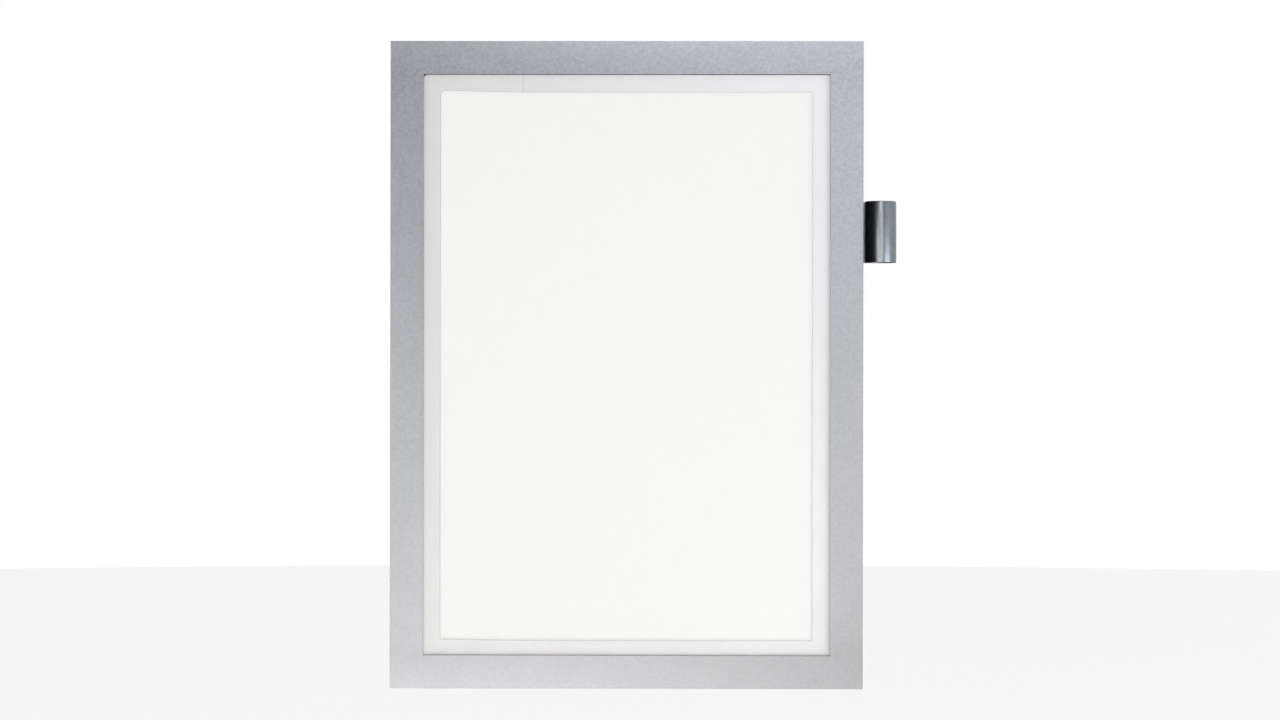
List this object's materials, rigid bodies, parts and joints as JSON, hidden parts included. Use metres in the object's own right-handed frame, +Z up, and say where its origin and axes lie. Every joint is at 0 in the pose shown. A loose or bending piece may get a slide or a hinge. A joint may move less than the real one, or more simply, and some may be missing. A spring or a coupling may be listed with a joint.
{
  "type": "self-adhesive display frame",
  "caption": "Flat frame that sticks to a wall and shows a paper sheet behind a silver border, with a hinged magnetic cover, an opening to write through and a pen holder.",
  "frame": {"origin": "middle of the top adhesive strip's back, in the wall's plane", "axes": "+Z up along the long side of the upright frame, +X to the right as seen from the front, +Y into the wall; the frame faces -Y"},
  "size_m": [0.2522, 0.0155, 0.3229],
  "materials": {
    "silver_print": "satin",
    "clear_film": "gloss",
    "magnetic_sheet": "matte",
    "white_paper": "matte",
    "adhesive_foam": "matte",
    "adhesive_pad": "matte",
    "hinge_film": "satin",
    "graphite_plastic": "gloss"
  },
  "bodies": {
    "back": {"adhesive_strip_top": "adhesive_foam", "adhesive_strip_bottom": "adhesive_foam", "adhesive_strip_left": "adhesive_foam", "adhesive_strip_right_upper": "adhesive_foam", "adhesive_strip_right_lower": "adhesive_foam", "back_film": "clear_film", "back_magnet_top": "magnetic_sheet", "back_magnet_bottom": "magnetic_sheet", "back_magnet_left": "magnetic_sheet", "back_magnet_right": "magnetic_sheet", "insert_sheet": "white_paper", "hinge_strip": "hinge_film", "pen_holder_pad": "adhesive_pad", "pen_holder": "graphite_plastic"},
    "cover": {"front_film": "clear_film", "front_magnet_top": "magnetic_sheet", "front_magnet_bottom": "magnetic_sheet", "front_magnet_left": "magnetic_sheet", "front_magnet_right": "magnetic_sheet", "facing": "silver_print"}
  },
  "joints": [
    {"name": "cover_hinge", "type": "hinge", "parent": "back", "child": "cover", "pos_m": [-0.11815, -0.0019, -0.15325], "axis": [0, 0, -1], "range_deg": [0, 180], "deforming": ["hinge_strip"]}
  ]
}
